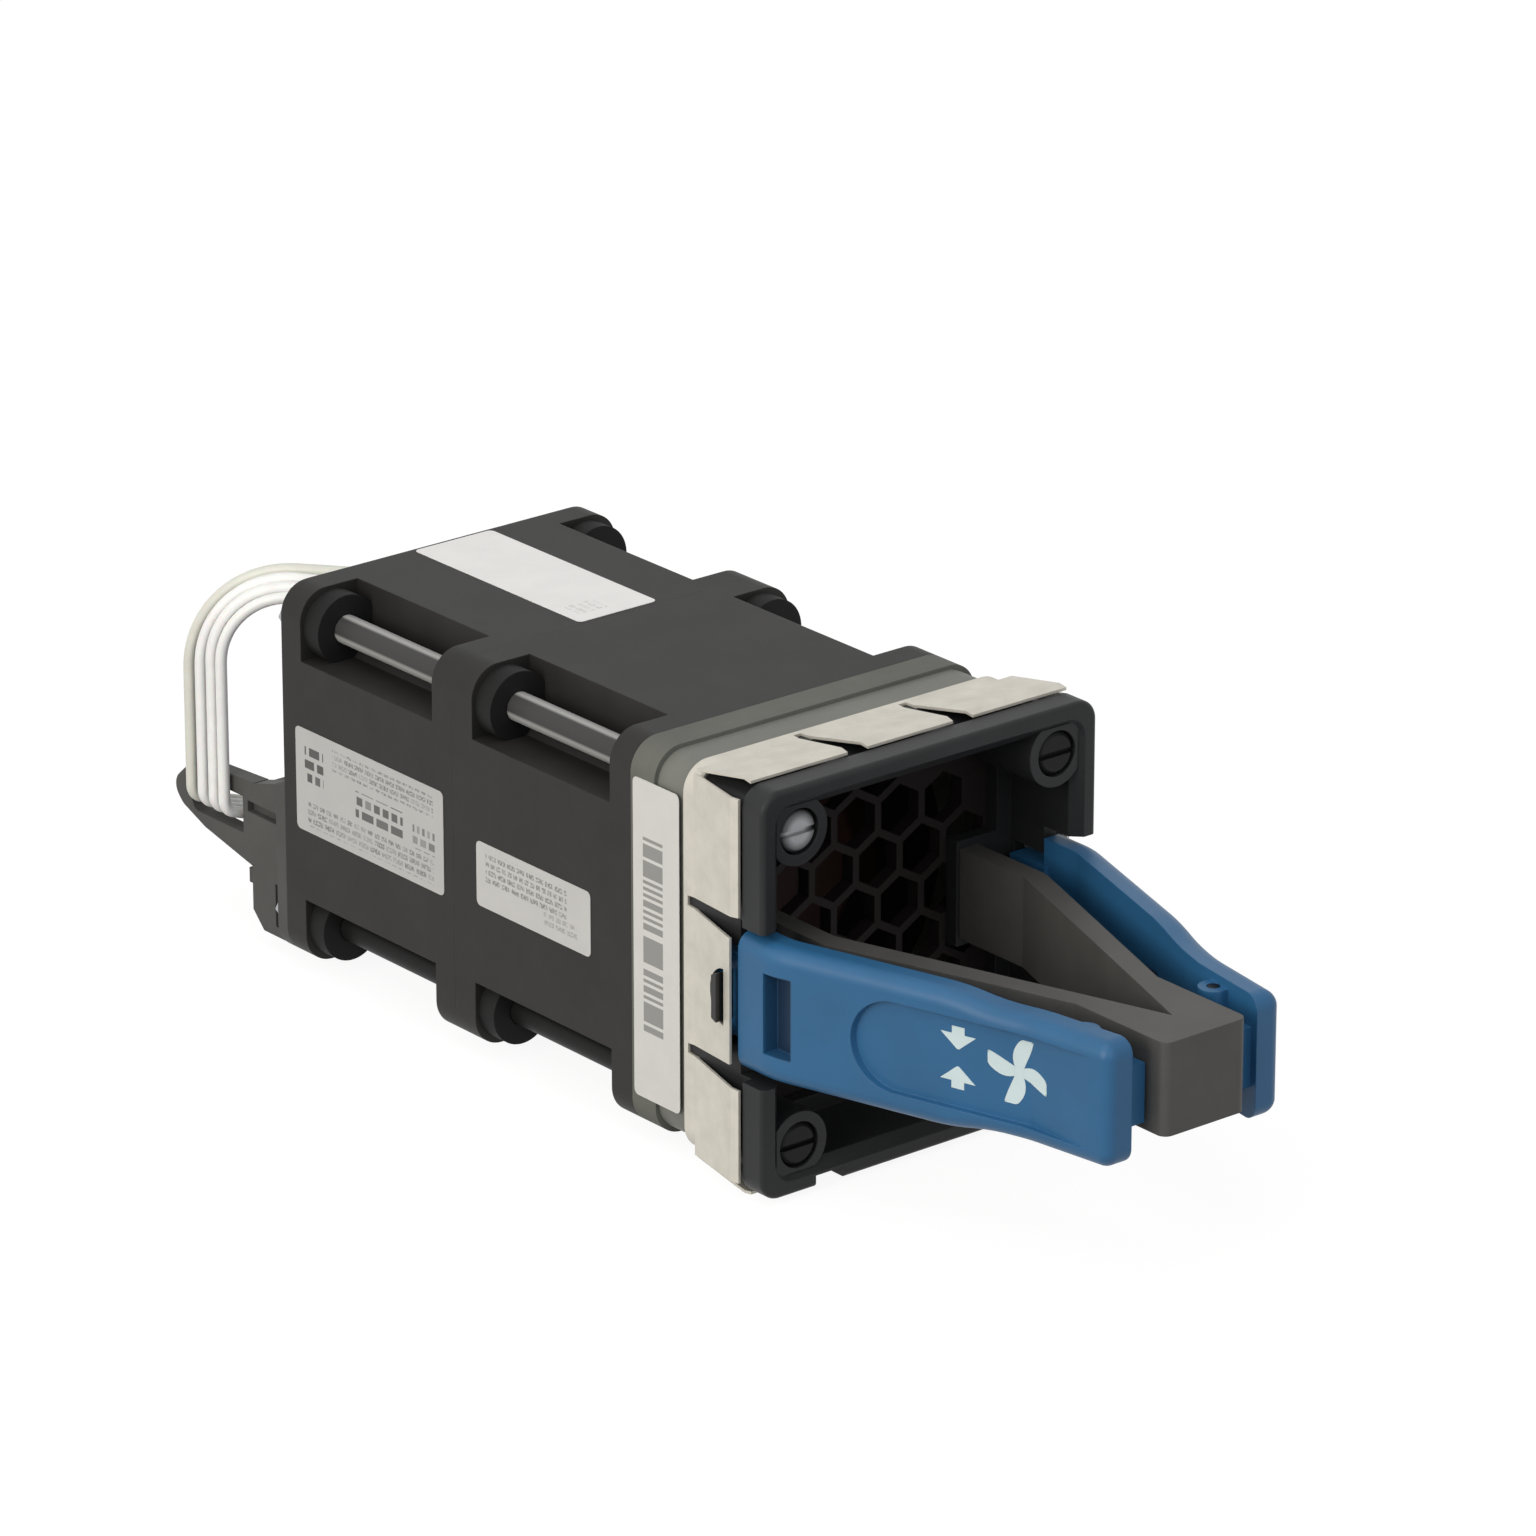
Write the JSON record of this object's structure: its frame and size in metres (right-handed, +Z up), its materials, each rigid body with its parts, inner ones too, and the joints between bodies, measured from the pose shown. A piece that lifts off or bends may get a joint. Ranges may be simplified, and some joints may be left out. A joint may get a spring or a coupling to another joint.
{
  "type": "server fan module",
  "caption": "Hot-swap server fan module: dual counter-rotating axial fan behind a honeycomb bezel with spring-finger gasket, V-shaped handle and squeeze latch levers.",
  "frame": {"origin": "on the fan axis, at the front face of the front fan", "axes": "+Z up, +Y along the fan axis from the handle towards the rear, +X to the right seen from the handle"},
  "size_m": [0.0434, 0.1369, 0.0426],
  "materials": {
    "black_fan_plastic": "glass-filled black plastic, fine matt texture",
    "impeller_plastic": "black moulded plastic, satin",
    "black_bezel_plastic": "black moulded plastic, satin",
    "handle_plastic": "dark warm-grey moulded plastic, satin",
    "blue_lever_plastic": "blue moulded plastic, satin",
    "collar_rubber": "dark grey rubber, matt",
    "adapter_plastic": "grey plastic, matt",
    "bush_rubber": "black rubber",
    "gasket_metal": "nickel-plated spring sheet, soft satin",
    "zinc_steel": "zinc-plated steel, bright",
    "steel": "ground steel",
    "rotor_steel": "deep-drawn steel",
    "magnet": "rubber-bonded ferrite, matt",
    "brass": "turned brass",
    "lamination": "stacked silicon steel",
    "copper_wire": "enamelled copper wire",
    "board": "green solder mask",
    "spring_steel": "blued spring steel strip",
    "connector_plastic": "black nylon",
    "contact_metal": "gold-flashed brass",
    "white_insulation": "white insulated wire",
    "grey_insulation": "pale grey insulated wire"
  },
  "bodies": {
    "module_frame": {"front_fan_casing": "black_fan_plastic", "front_bearing_tube": "brass", "front_ball_bearings": "steel", "front_stator_core": "lamination", "front_coils": "copper_wire", "front_circuit_board": "board", "rear_fan_casing": "black_fan_plastic", "rear_bearing_tube": "brass", "rear_ball_bearings": "steel", "rear_stator_core": "lamination", "rear_coils": "copper_wire", "rear_circuit_board": "board", "long_screws": "zinc_steel", "rear_nuts": "zinc_steel", "rubber_bushes": "bush_rubber", "damping_collar": "collar_rubber", "adapter_frame": "adapter_plastic", "honeycomb_grille": "black_bezel_plastic", "bezel": "black_bezel_plastic", "spring_finger_gasket": "gasket_metal", "handle_yoke": "handle_plastic", "handle_screws": "zinc_steel", "hinge_pins": "steel", "right_leaf_spring": "spring_steel", "left_leaf_spring": "spring_steel", "rear_bracket": "black_bezel_plastic", "connector_housing": "connector_plastic", "connector_contacts": "contact_metal", "white_leads": "white_insulation", "grey_lead": "grey_insulation"},
    "front_rotor": {"front_impeller": "impeller_plastic", "front_rotor_cup": "rotor_steel", "front_magnet_ring": "magnet", "front_shaft": "steel", "front_retaining_ring": "spring_steel"},
    "rear_rotor": {"rear_impeller": "impeller_plastic", "rear_rotor_cup": "rotor_steel", "rear_magnet_ring": "magnet", "rear_shaft": "steel", "rear_retaining_ring": "spring_steel"},
    "left_squeeze_lever": {"left_lever": "blue_lever_plastic", "left_latch_tooth": "black_bezel_plastic"},
    "right_squeeze_lever": {"right_lever": "blue_lever_plastic", "right_latch_tooth": "black_bezel_plastic"}
  },
  "joints": [
    {"name": "front_rotor_spin", "type": "hinge", "parent": "module_frame", "child": "front_rotor", "pos_m": [0, 0.0125, 0], "axis": [0, 1, 0], "continuous": true},
    {"name": "rear_rotor_spin", "type": "hinge", "parent": "module_frame", "child": "rear_rotor", "pos_m": [0, 0.0405, 0], "axis": [0, 1, 0], "continuous": true},
    {"name": "left_lever_squeeze", "type": "hinge", "parent": "module_frame", "child": "left_squeeze_lever", "pos_m": [-0.008, -0.052, -0.0012], "axis": [0, 0, -1], "range_deg": [0, 2.4], "stiffness_Nm_per_rad": 0.6, "springref_deg": -2.29, "deforming": ["left_leaf_spring"]},
    {"name": "right_lever_squeeze", "type": "hinge", "parent": "module_frame", "child": "right_squeeze_lever", "pos_m": [0.008, -0.052, -0.0012], "axis": [0, 0, 1], "range_deg": [0, 2.4], "stiffness_Nm_per_rad": 0.6, "springref_deg": -2.29, "deforming": ["right_leaf_spring"]}
  ]
}
